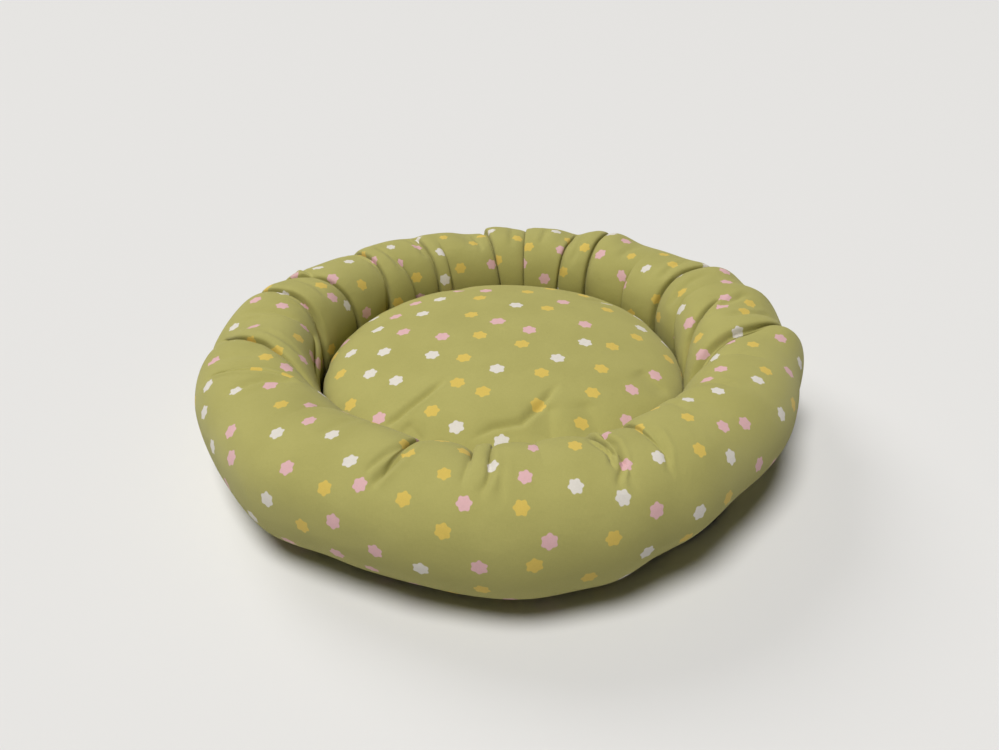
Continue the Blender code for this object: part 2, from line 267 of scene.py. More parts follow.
def pleat_route(pleat, tube):
    """Azimuth of a pleat, in degrees, on each row."""
    inner, outer, reach = pleat[:3]
    travel = np.clip((tube - reach) / (PLEAT_FOOT - reach), 0.0, 1.0) ** PLEAT_BEND
    return outer + (inner - outer) * travel


def ring_columns(tube):
    """Azimuth of every column on every row: columns follow the pleats and crowd beside them.

    Also each column's place between its two pleats, 0 to 1, how far apart they are in degrees,
    and the number of the panel that it lies on.
    """
    routes = [pleat_route(pleat, tube) for pleat in PLEATS]
    routes.append(routes[0] + 360.0)
    columns, crests, spans, panels = [], [], [], []
    for number, (before, after) in enumerate(zip(routes[:-1], routes[1:])):
        count = max(FEWEST_COLUMNS, round(AROUND * (after - before).mean() / 360.0))
        share = np.arange(count)[:, None] / count
        crowded = share - CROWDING * np.sin(2.0 * np.pi * share) / (2.0 * np.pi)
        columns.append(before + (after - before) * crowded)
        crests.append(crowded + 0.0 * before)
        spans.append(after - before + 0.0 * crowded)
        panels += [number] * count
    return np.concatenate(columns), np.concatenate(crests), np.concatenate(spans), np.array(panels)


def pleat_presence(pleat, tube, before, after):
    """0 to 1 along a pleat, from where it starts to show near its outer end to the inner seam."""
    reach = pleat[2]
    return smooth(reach - before, reach + after, tube)


def ring_tube(degrees, tube):
    """The ring's smooth tube, before any pleat, on a grid of azimuths and tube angles."""
    turn = np.radians(tube)[None, :]
    level = quarter_power(np.sin(turn))
    reach = np.abs(quarter_power(np.cos(turn)))
    outside = tube[None, :] <= 90.0
    below = (tube[None, :] < 0.0) | (tube[None, :] > 180.0)
    stand = MM * round_table(STAND_OUT, degrees)
    tuck = MM * round_table(TUCK_IN, degrees)
    ridge = RIDGE + RIDGE_SHARE * stand
    outer_middle = np.where(below, OUTER_SEAM[0], ridge)
    inner_middle = np.where(below, INNER_SEAM[0], ridge)
    outer_radius = outer_middle + (OUTER + stand - outer_middle) * reach
    inner_radius = inner_middle - (inner_middle - THROAT) * reach
    foot = np.where(outside, OUTER_SEAM[1], INNER_SEAM[1])
    rise = np.where(below, GIRTH_HEIGHT - foot, TOP_HEIGHT - GIRTH_HEIGHT)
    low_wall = smooth(*TUCK_FADES_OUT, tube) * smooth(*TUCK_FADES_IN, tube) * (tube <= 90.0)
    radius = np.where(outside, outer_radius, inner_radius) - tuck * low_wall
    return placed(np.radians(degrees), radius, GIRTH_HEIGHT + rise * level)


def puffed(azimuth, crest, span, tube):
    """How far the stuffing lifts the cover: slow waves, and a swell between each two pleats."""
    slack = smooth(*OUTER_SLACK, tube) * smooth(*INNER_SLACK, tube)
    inside = smooth(*PUFF_STARTS, tube) * smooth(*PUFF_ENDS, tube)
    arch = (4.0 * crest * (1.0 - crest)) ** PUFF_ROUNDNESS
    size = np.clip(span / PUFF_SPAN, *PUFF_SPAN_LIMITS)
    lift = PUFF * inside * (arch * size - PUFF_MEAN)
    for height, waves in COVER_WAVES:
        lift += height * ripples(azimuth, np.radians(tube)[None, :], *waves) * slack
    return lift


def gathered(degrees, radius, tube):
    """How far the pleats lift the cover, and how far they push it sideways."""
    draw = np.random.default_rng(PLEAT_SEED)
    inner_end = smooth(*INNER_END, tube)
    lift = np.zeros_like(degrees)
    sideways = np.zeros_like(degrees)
    for pleat in PLEATS:
        slope = draw.uniform(*PLEAT_SLOPE)
        step = draw.uniform(*PLEAT_STEP)
        depth, lap = MM * pleat[3], pleat[4]
        distance = np.radians(away_from(pleat_route(pleat, tube), degrees)) * radius * lap
        over = np.maximum(distance, 0.0)
        fall = np.minimum(distance, 0.0)
        present = pleat_presence(pleat, tube, *PLEAT_STARTS) * inner_end
        firm = min(1.0, depth / FIRM_DEPTH) * present
        hint = pleat_presence(pleat, tube, *HINT_STARTS) * inner_end
        run_in = STEEP_SHARE * np.exp(fall / slope) + (1.0 - STEEP_SHARE) * np.exp(fall / RUN_IN)
        valley = np.where(distance <= 0.0, run_in, np.exp(-over / LAP_EDGE))
        broad = np.where(distance <= 0.0, *HINT_WIDTHS)
        lift -= depth * HINT_SHARE * hint * np.exp(-(distance / broad) ** 2)
        lift -= depth * VALLEY_SHARE * present * valley
        lift += step * firm * np.exp(-over / LAP_LENGTH) * (1.0 - np.exp(-over / LAP_ROUNDING))
        sideways -= lap * CURL * firm * np.exp(-((distance - CURL_AT) / CURL_WIDTH) ** 2)
    return lift, sideways


def folded(degrees, radius, tube):
    """How far the short folds lift the cover."""
    lift = np.zeros_like(degrees)
    for route, depth, width in FOLDS:
        angles = [place[1] for place in route]
        middle = np.interp(tube, angles, [place[0] for place in route])
        side = np.radians(away_from(middle, degrees)) * radius / (MM * width)
        shown = smooth(angles[0] + FOLD_START[0], angles[0] + FOLD_START[1], tube)
        shown = shown * smooth(angles[-1] + FOLD_END[0], angles[-1] + FOLD_END[1], tube)
        steep, rounded = np.exp(-side * FOLD_STEEP), np.exp(-side * side * FOLD_ROUND)
        valley = np.where(side > 0.0, steep, rounded)
        ridge = FOLD_RIDGE * np.exp(-((side - FOLD_RIDGE_AT) / FOLD_RIDGE_WIDTH) ** 2)
        lift += MM * depth * shown * (ridge - valley)
    return lift


def swollen(degrees, tube):
    """How far the swells and dips near the ridge lift the cover."""
    lift = np.zeros_like(degrees)
    for middle, crown, height, width in SWELLS:
        across = away_from(middle, degrees) / width
        lift += MM * height * np.exp(-across ** 2 - ((tube - crown) / SWELL_REACH) ** 2)
    return lift


def join_seam(degrees, radius, tube):
    """The groove of the cover's join, over the outer wall."""
    distance = np.radians(away_from(JOIN_SEAM, degrees)) * radius
    groove = np.exp(-(distance / JOIN_SEAM_WIDTH) ** 2)
    return JOIN_SEAM_DEPTH * groove * smooth(80.0, 50.0, tube)


def ring_points(degrees, crest, span, tube):
    """The ring's gathered cover: its tube with every puff, pleat, fold and swell."""
    azimuth = np.radians(degrees)
    points = ring_tube(degrees, tube)
    radius = np.hypot(points[:, :, 0], points[:, :, 1])
    pleats, sideways = gathered(degrees, radius, tube)
    lift = puffed(azimuth, crest, span, tube) + pleats + folded(degrees, radius, tube)
    lift = lift + swollen(degrees, tube) - join_seam(degrees, radius, tube)
    along = np.stack([-np.sin(azimuth), np.cos(azimuth), 0.0 * azimuth], axis=2)
    points = points + normals(points) * lift[:, :, None] + along * sideways[:, :, None]
    points[:, :, 2] = np.maximum(points[:, :, 2], LOWEST_CLOTH)
    return points


def ring_cloth(points, degrees, crest, panels, tube):
    """Cloth coordinates in metres: each panel unrolled about its own middle, joined past the pleats."""
    steps = np.linalg.norm(np.roll(points, -1, 0) - points, axis=2)
    walked = np.concatenate([np.zeros((1, len(tube))), np.cumsum(steps, axis=0)])
    cut = 2.0 * np.pi * OUTER
    even = np.radians(degrees) * OUTER
    radius = np.hypot(points[:, :, 0], points[:, :, 1])
    drift = radius[:, 1:] * np.diff(np.radians(degrees), axis=1)
    drift = np.concatenate([np.zeros((len(steps), 1)), np.cumsum(drift, axis=1)], axis=1)
    girth = int(np.argmin(np.abs(tube)))
    u = np.zeros_like(even)
    for number, pleat in enumerate(PLEATS):
        columns = np.flatnonzero(panels == number)
        middle = columns[len(columns) // 2]
        start = even[middle, girth] + drift[middle] - drift[middle, girth]
        unrolled = start + walked[columns] - walked[middle]
        following = PLEATS[(number + 1) % len(PLEATS)]
        ends = [pleat_presence(end, tube, *CUT_STARTS) for end in (pleat, following)]
        share = crest[columns]
        free = ends[0] * (1.0 - share) + ends[1] * share
        u[columns] = even[columns] * (1.0 - free) + unrolled * free
    u = np.concatenate([u, u[:1] + cut])
    rows = np.linalg.norm(points[:, 1:] - points[:, :-1], axis=2)
    v = np.concatenate([[0.0], np.cumsum(np.median(rows, axis=0))])
    return np.stack([u, np.broadcast_to(v, u.shape)], axis=2)


def grid_mesh(name, points, cloth=None, closed_across=False, caps=()):
    """A mesh from a grid that closes round the ring, with its cloth coordinates as UVs.

    caps lists the rows, 0 or -1, that close on a middle point of their own.
    """
    around, across = points.shape[:2]
    rows = across if closed_across else across - 1
    i, j = np.meshgrid(np.arange(around), np.arange(rows), indexing="ij")
    corners_i = np.stack([i, i + 1, i + 1, i], axis=2).reshape(-1, 4)
    corners_j = np.stack([j, j, j + 1, j + 1], axis=2).reshape(-1, 4)
    faces = (corners_i % around) * across + corners_j % across
    places = [points.reshape(-1, 3)]
    loops = [faces.reshape(-1)]
    if cloth is not None:
        reach = cloth.shape[1] - 1
        spread = [cloth[corners_i, np.minimum(corners_j, reach)].reshape(-1, 2)]
    ring = np.arange(around)
    for number, row in enumerate(caps):
        middle = np.full(around, around * across + number)
        rim, following = ring * across + row % across, (ring + 1) % around * across + row % across
        order = [middle, following, rim] if row == 0 else [middle, rim, following]
        places.append(points[:, row].mean(0)[None, :])
        loops.append(np.stack(order, axis=1).reshape(-1))
        if cloth is not None:
            hub = np.repeat(cloth[:-1, row].mean(0)[None, :], around, axis=0)
            rims = cloth[:-1, row], cloth[1:, row]
            first, second = (rims[1], rims[0]) if row == 0 else rims
            spread.append(np.stack([hub, first, second], axis=1).reshape(-1, 2))
    places, loops = np.concatenate(places), np.concatenate(loops)
    triangles = around * len(caps)
    starts = np.concatenate([np.arange(len(faces)) * 4, faces.size + np.arange(triangles) * 3])
    mesh = bpy.data.meshes.new(name)
    mesh.vertices.add(len(places))
    mesh.vertices.foreach_set("co", places.reshape(-1))
    mesh.loops.add(len(loops))
    mesh.loops.foreach_set("vertex_index", loops)
    mesh.polygons.add(len(starts))
    mesh.polygons.foreach_set("loop_start", starts)
    mesh.update(calc_edges=True)
    if cloth is not None:
        layer = mesh.uv_layers.new(name="print")
        layer.data.foreach_set("uv", np.concatenate(spread).reshape(-1))
    mesh.polygons.foreach_set("use_smooth", np.ones(len(starts), bool))
    return mesh


def shell(panel, thickness, pole_last):
    """A round panel's grid with its inner face, so that it closes into one thin body."""
    inner = (panel - normals(panel) * thickness)[:, ::-1]
    return np.concatenate([inner, panel] if pole_last else [panel, inner], axis=1)


def mirrored(cloth, pole_last):
    """Cloth coordinates for a shell: the inner face is printed like the outer one."""
    inner = cloth[:, ::-1]
    return np.concatenate([inner, cloth] if pole_last else [cloth, inner], axis=1)


def add(name, mesh, body, slot, material, *nodes):
    """A piece in the scene: it rides on a body and stands for those CAD nodes."""
    made = bpy.data.objects.new(name, mesh)
    bpy.context.scene.collection.objects.link(made)
    mesh.materials.append(material)
    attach(made, body)
    if nodes:
        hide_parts(*nodes)
    return made


# ---- cushion ----
CUSHION_AROUND = 560
CUSHION_DOME_ROWS = 110
CUSHION_FLAT_ROWS = 40
CUSHION_FLANK_ROWS = 34
MIDDLE_HOLE = 0.001
CUSHION_GIRTH = 0.1850
CUSHION_CROWN = 0.1130
CUSHION_WAIST = 0.058
CUSHION_POWER = 2.15
CUSHION_FLOOR = FLOOR_TOP + 0.0016
CUSHION_FLAT = 0.148
SEAM_RADIUS = 0.1742
SEAM_GAP = 0.0003
EDGE_ROWS = 24
CUSHION_CLOTH = 0.0009
CORE_AROUND = 120
CORE_ROWS = 24
LINER_INSET = 0.0095
LINER_CLOTH = 0.0006
STUFFING_INSET = 0.0125
DISC_EASE = 0.94
ZIP_MIDDLE = 90.0
ZIP_HALF_ANGLE = 45.5
ZIP_END = 2.5
ZIP_GAP = 0.0042

# Heights between which the creases, waves and seam puckers fade in or out.
CREASE_LINE = (0.062, 0.076)
EDGE_BAND = ((0.096, 0.066), (0.046, 0.056))
SEAM_BAND = (0.060, 0.046)
DOME_LINE = (0.055, 0.075)
DOME_MIDDLE = 0.08
FLANK_BAND = (0.028, 0.037)
SOLE_BAND = (0.030, 0.016)

# Waves: their height, then the seed, how many are added, and the most waves round the cushion.
EDGE_WAVE, EDGE_WAVES = 0.0008, (11, 14, 40)
DOME_WAVE, DOME_WAVES = 0.0012, (12, 8, 6)
SOLE_WAVE, SOLE_WAVES = 0.0010, (15, 8, 9)
PUCKER = 0.0010
PUCKERS = 40.0

# A crease's section, in crease widths, and where along it the fades at its ends stop and start.
CREASE_STEEP = 2.0
CREASE_ROUND = 0.5
CREASE_RIDGE = 0.1
CREASE_RIDGE_AT = 1.4
CREASE_START = 0.22
CREASE_END = 0.7

# Each crease of the dome: its points on the plan in mm, depth in mm, width in mm.
CREASES = (
    (((-50, -84), (-75, -108), (-95, -124), (-112, -134)), 4.4, 3.2),
    (((54, -92), (36, -122), (16, -145), (-9, -150), (-32, -162)), 4.2, 3.6),
    (((42, -118), (43, -170)), 4.0, 12.0),
    (((74, -112), (88, -156)), 2.4, 13.0),
    (((-88, -130), (-68, -158)), 2.6, 9.0),
    (((132, -52), (160, -78)), 2.4, 12.0),
    (((-36, 122), (-68, 154)), 2.4, 12.0),
    (((90, 94), (122, 122)), 2.6, 11.0),
    (((-132, 34), (-164, 60)), 2.0, 12.0),
)


def signed_distance(x, y, route):
    """Distance from a route of straight stretches, positive on its left, and 0 to 1 along it."""
    best = np.full(x.shape, np.inf)
    sign = np.ones(x.shape)
    along = np.zeros(x.shape)
    stretches = list(zip(route[:-1], route[1:]))
    for number, (first, second) in enumerate(stretches):
        ax, ay = first[0] * MM, first[1] * MM
        dx, dy = second[0] * MM - ax, second[1] * MM - ay
        t = np.clip(((x - ax) * dx + (y - ay) * dy) / (dx * dx + dy * dy), 0.0, 1.0)
        away = np.hypot(x - ax - t * dx, y - ay - t * dy)
        nearer = away < best
        side = np.sign(dx * (y - ay) - dy * (x - ax))
        best = np.where(nearer, away, best)
        sign = np.where(nearer, side, sign)
        along = np.where(nearer, (number + t) / len(stretches), along)
    return best * sign, along


def zip_opening(azimuth):
    """1 where the zip parts the cushion's edge, 0 elsewhere."""
    away = np.abs(away_from(ZIP_MIDDLE, np.degrees(azimuth)))
    return smooth(ZIP_HALF_ANGLE + ZIP_END, ZIP_HALF_ANGLE, away)


def cushion_edge(azimuth, side):
    """Height of a panel's edge: at the seam, or at its side of the zip's opening."""
    return EDGE_HEIGHT + side * (SEAM_GAP + ZIP_GAP * zip_opening(azimuth))


def creases(points):
    """How far the dome's creases lift its cloth: a valley with a low ridge beside it."""
    lift = np.zeros(points.shape[:2])
    for route, depth, width in CREASES:
        away, along = signed_distance(points[:, :, 0], points[:, :, 1], route)
        fade = smooth(0.0, CREASE_START, along) * smooth(1.0, CREASE_END, along)
        fade = fade * smooth(*CREASE_LINE, points[:, :, 2])
        side = away / (MM * width)
        steep, rounded = np.exp(-side * CREASE_STEEP), np.exp(-side * side * CREASE_ROUND)
        valley = np.where(side > 0.0, steep, rounded)
        ridge = CREASE_RIDGE * np.exp(-(side - CREASE_RIDGE_AT) ** 2)
        lift += MM * depth * fade * (ridge - valley)
    return lift


def cushion_upper():
    """The domed panel as a grid, from the edge seam over the girth to its middle."""
    azimuth = azimuths(CUSHION_AROUND)
    angle = np.linspace(1.0, 0.0, EDGE_ROWS)[None, :-1] * 0.5 * np.pi
    flank_radius = SEAM_RADIUS + (CUSHION_GIRTH - SEAM_RADIUS) * np.cos(angle) + 0.0 * azimuth
    flank_height = CUSHION_WAIST - (CUSHION_WAIST - cushion_edge(azimuth, 1.0)) * np.sin(angle)
    angle = np.linspace(1.0, 0.006, CUSHION_DOME_ROWS)[None, :] * 0.5 * np.pi
    bend = 2.0 / CUSHION_POWER
    dome_radius = CUSHION_GIRTH * np.sin(angle) ** bend + 0.0 * azimuth
    dome_height = CUSHION_WAIST + (CUSHION_CROWN - CUSHION_WAIST) * np.cos(angle) ** bend
    radius = np.concatenate([flank_radius, dome_radius], axis=1)
    height = np.concatenate([flank_height, dome_height + 0.0 * azimuth], axis=1)
    points = placed(azimuth, radius, height)
    near_edge = smooth(*EDGE_BAND[0], height) * smooth(*EDGE_BAND[1], height)
    sewn = smooth(*SEAM_BAND, height) * (1.0 - zip_opening(azimuth))
    inland = smooth(0.0, DOME_MIDDLE, radius) * smooth(*DOME_LINE, height)
    lift = creases(points)
    lift += EDGE_WAVE * near_edge * ripples(azimuth, 0.0 * height, *EDGE_WAVES)
    lift += DOME_WAVE * inland * ripples(azimuth, height * 30.0, *DOME_WAVES)
    lift -= PUCKER * sewn * pucker(azimuth)
    return points + normals(points) * lift[:, :, None]


def cushion_lower():
    """The flat panel as a grid, from its middle under the cushion out to the edge seam."""
    azimuth = azimuths(CUSHION_AROUND)
    edge = cushion_edge(azimuth, -1.0)
    flat_radius = np.linspace(MIDDLE_HOLE, CUSHION_FLAT, CUSHION_FLAT_ROWS)[None, :-1] + 0.0 * azimuth
    angle = np.linspace(1.0, 0.0, CUSHION_FLANK_ROWS)[None, :] * 0.5 * np.pi
    flank_radius = CUSHION_FLAT + (SEAM_RADIUS - CUSHION_FLAT) * np.cos(angle) ** 0.8
    flank_radius = flank_radius + 0.0016 * np.sin(2.0 * angle) + 0.0 * azimuth
    flank_height = edge - (edge - CUSHION_FLOOR) * np.sin(angle) ** 0.8
    radius = np.concatenate([flat_radius, flank_radius], axis=1)
    height = np.concatenate([CUSHION_FLOOR + 0.0 * flat_radius, flank_height], axis=1)
    sewn = smooth(*FLANK_BAND, height) * (1.0 - zip_opening(azimuth))
    radius = radius - PUCKER * pucker(azimuth) * sewn
    wave = 0.5 * (1.0 + ripples(azimuth, radius * 60.0, *SOLE_WAVES))
    height = height + SOLE_WAVE * np.clip(wave, 0.0, 1.6) * smooth(*SOLE_BAND, height)
    return placed(azimuth, radius, height)


def cushion_core(inset):
    """A plain body inside the cushion's cover as a grid, from its lowest to its highest middle."""
    azimuth = azimuths(CORE_AROUND)
    angle = np.linspace(0.0, 1.0, CORE_ROWS)[None, 1:] * 0.5 * np.pi
    bend = 2.0 / CUSHION_POWER
    low_radius = (CUSHION_FLAT + 0.020 - inset) * np.sin(angle) ** 0.5
    low_height = EDGE_HEIGHT - (EDGE_HEIGHT - CUSHION_FLOOR - inset) * np.cos(angle)
    high_radius = (SEAM_RADIUS + 0.008 - inset) * np.cos(angle) ** bend
    high_height = EDGE_HEIGHT + (CUSHION_CROWN - inset - EDGE_HEIGHT) * np.sin(angle) ** bend
    radius = np.concatenate([low_radius, high_radius[:, :-1]], axis=1) + 0.0 * azimuth
    height = np.concatenate([low_height, high_height[:, :-1]], axis=1) + 0.0 * azimuth
    return placed(azimuth, radius, height)


def pucker(azimuth):
    """Small even gathers that the seam thread pulls into the cloth."""
    return np.abs(np.sin(PUCKERS * azimuth + 2.0 * np.sin(3.0 * azimuth)))


def disc_cloth(points, offset, pole_last=False):
    """Cloth coordinates of a round panel: length from its middle, in its own direction."""
    steps = np.linalg.norm(points[:, 1:] - points[:, :-1], axis=2).mean(0)
    reach = np.concatenate([[0.0], np.cumsum(steps)])
    if pole_last:
        reach = reach[-1] - reach
    azimuth = np.linspace(0.0, 2.0 * np.pi, len(points) + 1)[:, None]
    u = DISC_EASE * reach * np.cos(azimuth) + offset[0]
    v = DISC_EASE * reach * np.sin(azimuth) + offset[1]
    return np.stack([u, v], axis=2)


# ---- materials ----
class Graph:
    """A short way to write a material's nodes."""

    def __init__(self, name):
        self.material = bpy.data.materials.new(name)
        self.material.use_nodes = True
        self.tree = self.material.node_tree
        self.shader = self.tree.nodes["Principled BSDF"]

    def node(self, kind, **settings):
        made = self.tree.nodes.new(kind)
        for key, value in settings.items():
            setattr(made, key, value)
        return made

    def put(self, socket, value):
        if isinstance(value, bpy.types.NodeSocket):
            self.tree.links.new(value, socket)
        else:
            socket.default_value = value

    def combine(self, kind, operation, values):
        made = self.node(kind, operation=operation)
        for socket, value in zip(made.inputs, values):
            self.put(socket, value)
        return made.outputs[0]

    def math(self, operation, *values):
        return self.combine("ShaderNodeMath", operation, values)

    def vector(self, operation, *values):
        return self.combine("ShaderNodeVectorMath", operation, values)

    def mix(self, factor, first, second, blend="MIX"):
        made = self.node("ShaderNodeMix", data_type="RGBA", blend_type=blend)
        self.put(made.inputs[0], factor)
        self.put(made.inputs[6], first)
        self.put(made.inputs[7], second)
        return made.outputs[2]

    def ramp(self, value, low, high):
        made = self.node("ShaderNodeMapRange", interpolation_type="SMOOTHSTEP")
        self.put(made.inputs[0], value)
        made.inputs[1].default_value = low
        made.inputs[2].default_value = high
        return made.outputs[0]

    def grey(self, value):
        made = self.node("ShaderNodeCombineColor")
        for socket in made.inputs:
            self.put(socket, value)
        return made.outputs[0]

    def noise(self, where, scale, detail=2.0):
        made = self.node("ShaderNodeTexNoise")
        self.put(made.inputs["Vector"], where)
        made.inputs["Scale"].default_value = scale
        made.inputs["Detail"].default_value = detail
        return made.outputs[0]

    def wave(self, where, direction, scale, distortion=0.0):
        made = self.node("ShaderNodeTexWave", wave_type="BANDS", bands_direction=direction)
        self.put(made.inputs["Vector"], where)
        made.inputs["Scale"].default_value = scale
        made.inputs["Distortion"].default_value = distortion
        return made.outputs["Fac"]

    def bump(self, height, distance, strength=1.0, normal=None):
        made = self.node("ShaderNodeBump")
        made.inputs["Strength"].default_value = strength
        made.inputs["Distance"].default_value = distance
        self.put(made.inputs["Height"], height)
        if normal is not None:
            self.put(made.inputs["Normal"], normal)
        return made.outputs[0]


FLOWER_PITCH = 0.0385
FLOWER_RADIUS = 0.0063
FLOWER_SCATTER = 0.5
PETALS = 6.0
PETAL_DEPTH = 0.105
PETAL_FRAY = 0.16
PRINT_TURN = math.radians(24)
INK_COVER = 0.94
THREAD_SCALE = 420.0
OLIVE = (0.430, 0.402, 0.128, 1.0)
OLIVE_DEEP = (0.405, 0.378, 0.117, 1.0)
PINK = (0.74, 0.45, 0.48, 1.0)
WHITE = (0.75, 0.71, 0.66, 1.0)
YELLOW = (0.69, 0.505, 0.105, 1.0)


def flowers(graph, cloth):
    """Scattered six-petalled flowers: returns their mask and a chance number for each."""
    turned = graph.node("ShaderNodeMapping")
    graph.put(turned.inputs["Vector"], cloth)
    turned.inputs["Rotation"].default_value = (0.0, 0.0, PRINT_TURN)
    turned.inputs["Scale"].default_value = (1.0 / FLOWER_PITCH, 1.0 / FLOWER_PITCH, 1.0)
    cells = graph.node("ShaderNodeTexVoronoi", voronoi_dimensions="2D", feature="F1")
    cells.inputs["Scale"].default_value = 1.0
    cells.inputs["Randomness"].default_value = FLOWER_SCATTER
    graph.put(cells.inputs["Vector"], turned.outputs[0])
    local = graph.vector("SUBTRACT", turned.outputs[0], cells.outputs["Position"])
    parts = graph.node("ShaderNodeSeparateXYZ")
    graph.put(parts.inputs[0], local)
    chance = graph.node("ShaderNodeSeparateColor")
    graph.put(chance.inputs[0], cells.outputs["Color"])
    angle = graph.math("ARCTAN2", parts.outputs[1], parts.outputs[0])
    turn = graph.math("MULTIPLY", chance.outputs[0], 2.0 * math.pi)
    petals = graph.math("COSINE", graph.math("MULTIPLY_ADD", angle, PETALS, turn))
    ragged = graph.noise(cloth, THREAD_SCALE, 1.0)
    edge = graph.math("MULTIPLY_ADD", petals, PETAL_DEPTH, 1.0)
    fray = graph.math("MULTIPLY_ADD", ragged, PETAL_FRAY, -0.5 * PETAL_FRAY)
    edge = graph.math("ADD", edge, fray)
    reach = graph.math("DIVIDE", cells.outputs["Distance"], edge)
    size = FLOWER_RADIUS / FLOWER_PITCH
    mask = graph.math("SUBTRACT", 1.0, graph.ramp(reach, size * 0.93, size * 1.07))
    return mask, chance.outputs[1]


def print_cotton():
    """Olive plain weave, printed with the scattered flowers: a third of them in each colour."""
    graph = Graph("print_cotton")
    cloth = graph.node("ShaderNodeUVMap", uv_map="print").outputs[0]
    mask, chance = flowers(graph, cloth)
    petal = graph.mix(graph.ramp(chance, 0.335, 0.336), PINK, WHITE)
    petal = graph.mix(graph.ramp(chance, 0.665, 0.666), petal, YELLOW)
    wash = graph.ramp(graph.noise(cloth, 18.0, 3.0), 0.3, 0.7)
    ground = graph.mix(wash, OLIVE, OLIVE_DEEP)
    colour = graph.mix(graph.math("MULTIPLY", mask, INK_COVER), ground, petal)
    warp = graph.noise(graph.vector("MULTIPLY", cloth, (1.0, 7.0, 1.0)), 240.0, 2.0)
    weft = graph.noise(graph.vector("MULTIPLY", cloth, (7.0, 1.0, 1.0)), 240.0, 2.0)
    slub = graph.math("MULTIPLY_ADD", graph.math("ADD", warp, weft), 0.11, 0.89)
    colour = graph.mix(1.0, colour, graph.grey(slub), "MULTIPLY")
    graph.put(graph.shader.inputs["Base Color"], colour)
    graph.shader.inputs["Roughness"].default_value = 0.88
    graph.shader.inputs["Specular IOR Level"].default_value = 0.25
    graph.shader.inputs["Sheen Weight"].default_value = 0.10
    graph.shader.inputs["Sheen Roughness"].default_value = 0.45
    ribs = [graph.wave(cloth, direction, THREAD_SCALE, 0.6) for direction in ("X", "Y")]
    threads = graph.math("ADD", *ribs)
    soft = graph.bump(graph.noise(cloth, 26.0, 4.0), 0.006, 0.34)
    graph.put(graph.shader.inputs["Normal"], graph.bump(threads, 0.0003, 0.5, soft))
    return graph.material


def plain_cloth(name, colour, threads, roughness=0.9):
    """A plain woven or felted cloth: colour broken by threads, and their bump."""
    graph = Graph(name)
    place = graph.node("ShaderNodeTexCoord").outputs["Object"]
    blotch = graph.noise(place, 40.0, 3.0)
    weave = graph.noise(graph.vector("MULTIPLY", place, (1.0, 1.0, 3.0)), threads, 2.0)
    shade = graph.math("MULTIPLY_ADD", graph.math("ADD", blotch, weave), 0.30, 0.70)
    colour = graph.mix(1.0, (*colour, 1.0), graph.grey(shade), "MULTIPLY")
    graph.put(graph.shader.inputs["Base Color"], colour)
    graph.shader.inputs["Roughness"].default_value = roughness
    graph.put(graph.shader.inputs["Normal"], graph.bump(weave, 0.0006, 0.6))
    return graph.material


# ---- camera, floor and light ----
CAMERA_DISTANCE = 0.950
CAMERA_ELEVATION = math.radians(33.5)
CAMERA_PAN = 0.004
CAMERA_TILT = 0.053
CAMERA_ROLL = math.radians(0.8)
SENSOR_WIDTH = 36.0
FOCAL_SHARE = 0.8809


def camera():
    """The photo's view: from the front, a little above, aimed near the middle of the bed."""
    data = bpy.data.cameras.new("camera")
    data.sensor_width = SENSOR_WIDTH
    data.lens = SENSOR_WIDTH * FOCAL_SHARE
    made = bpy.data.objects.new("camera", data)
    bpy.context.scene.collection.objects.link(made)
    back = Vector((0.0, -math.cos(CAMERA_ELEVATION), math.sin(CAMERA_ELEVATION)))
    aim = (-back).to_track_quat("-Z", "Y").to_matrix().to_4x4()
    aim = aim @ Matrix.Rotation(CAMERA_PAN, 4, "Y") @ Matrix.Rotation(CAMERA_TILT, 4, "X")
    aim = aim @ Matrix.Rotation(-CAMERA_ROLL, 4, "Z")
    made.matrix_world = Matrix.Translation(back * CAMERA_DISTANCE) @ aim
    bpy.context.scene.camera = made


# Each lamp: name, the azimuth it shines from, its tilt from overhead, strength and softness.
SUNS = (("key", 236, 16, 2.95, 26), ("rim", 130, 52, 1.05, 28))
WORLD_LIGHT = 0.04
BACKDROP = 0.78
PAPER = 0.69
PAPER_SIDE = 80.0
PAPER_ROUGHNESS = 0.95
SUN_COLOUR = (1.0, 0.985, 0.96)
WORLD_COLOUR = (1.0, 0.995, 0.985, 1.0)


def paper_floor():
    """A wide pale floor."""
    mesh = bpy.data.meshes.new("floor")
    half = 0.5 * PAPER_SIDE
    corners = [(-half, -half, 0.0), (half, -half, 0.0), (half, half, 0.0), (-half, half, 0.0)]
    mesh.from_pydata(corners, [], [(0, 1, 2, 3)])
    floor = bpy.data.objects.new("floor", mesh)
    bpy.context.scene.collection.objects.link(floor)
    paper = Graph("floor_paper")
    paper.shader.inputs["Base Color"].default_value = (PAPER, PAPER, PAPER, 1.0)
    paper.shader.inputs["Roughness"].default_value = PAPER_ROUGHNESS
    mesh.materials.append(paper.material)


def pale_world():
    """A dim world for light, which shows as a pale backdrop beyond the floor."""
    world = bpy.data.worlds.new("world")
    bpy.context.scene.world = world
    world.use_nodes = True
    tree = world.node_tree
    background = tree.nodes["Background"]
    background.inputs[0].default_value = WORLD_COLOUR
    strength = tree.nodes.new("ShaderNodeMath")
    strength.operation = "MULTIPLY_ADD"
    strength.inputs[1].default_value = BACKDROP - WORLD_LIGHT
    strength.inputs[2].default_value = WORLD_LIGHT
    seen = tree.nodes.new("ShaderNodeLightPath").outputs["Is Camera Ray"]
    tree.links.new(seen, strength.inputs[0])
    tree.links.new(strength.outputs[0], background.inputs[1])


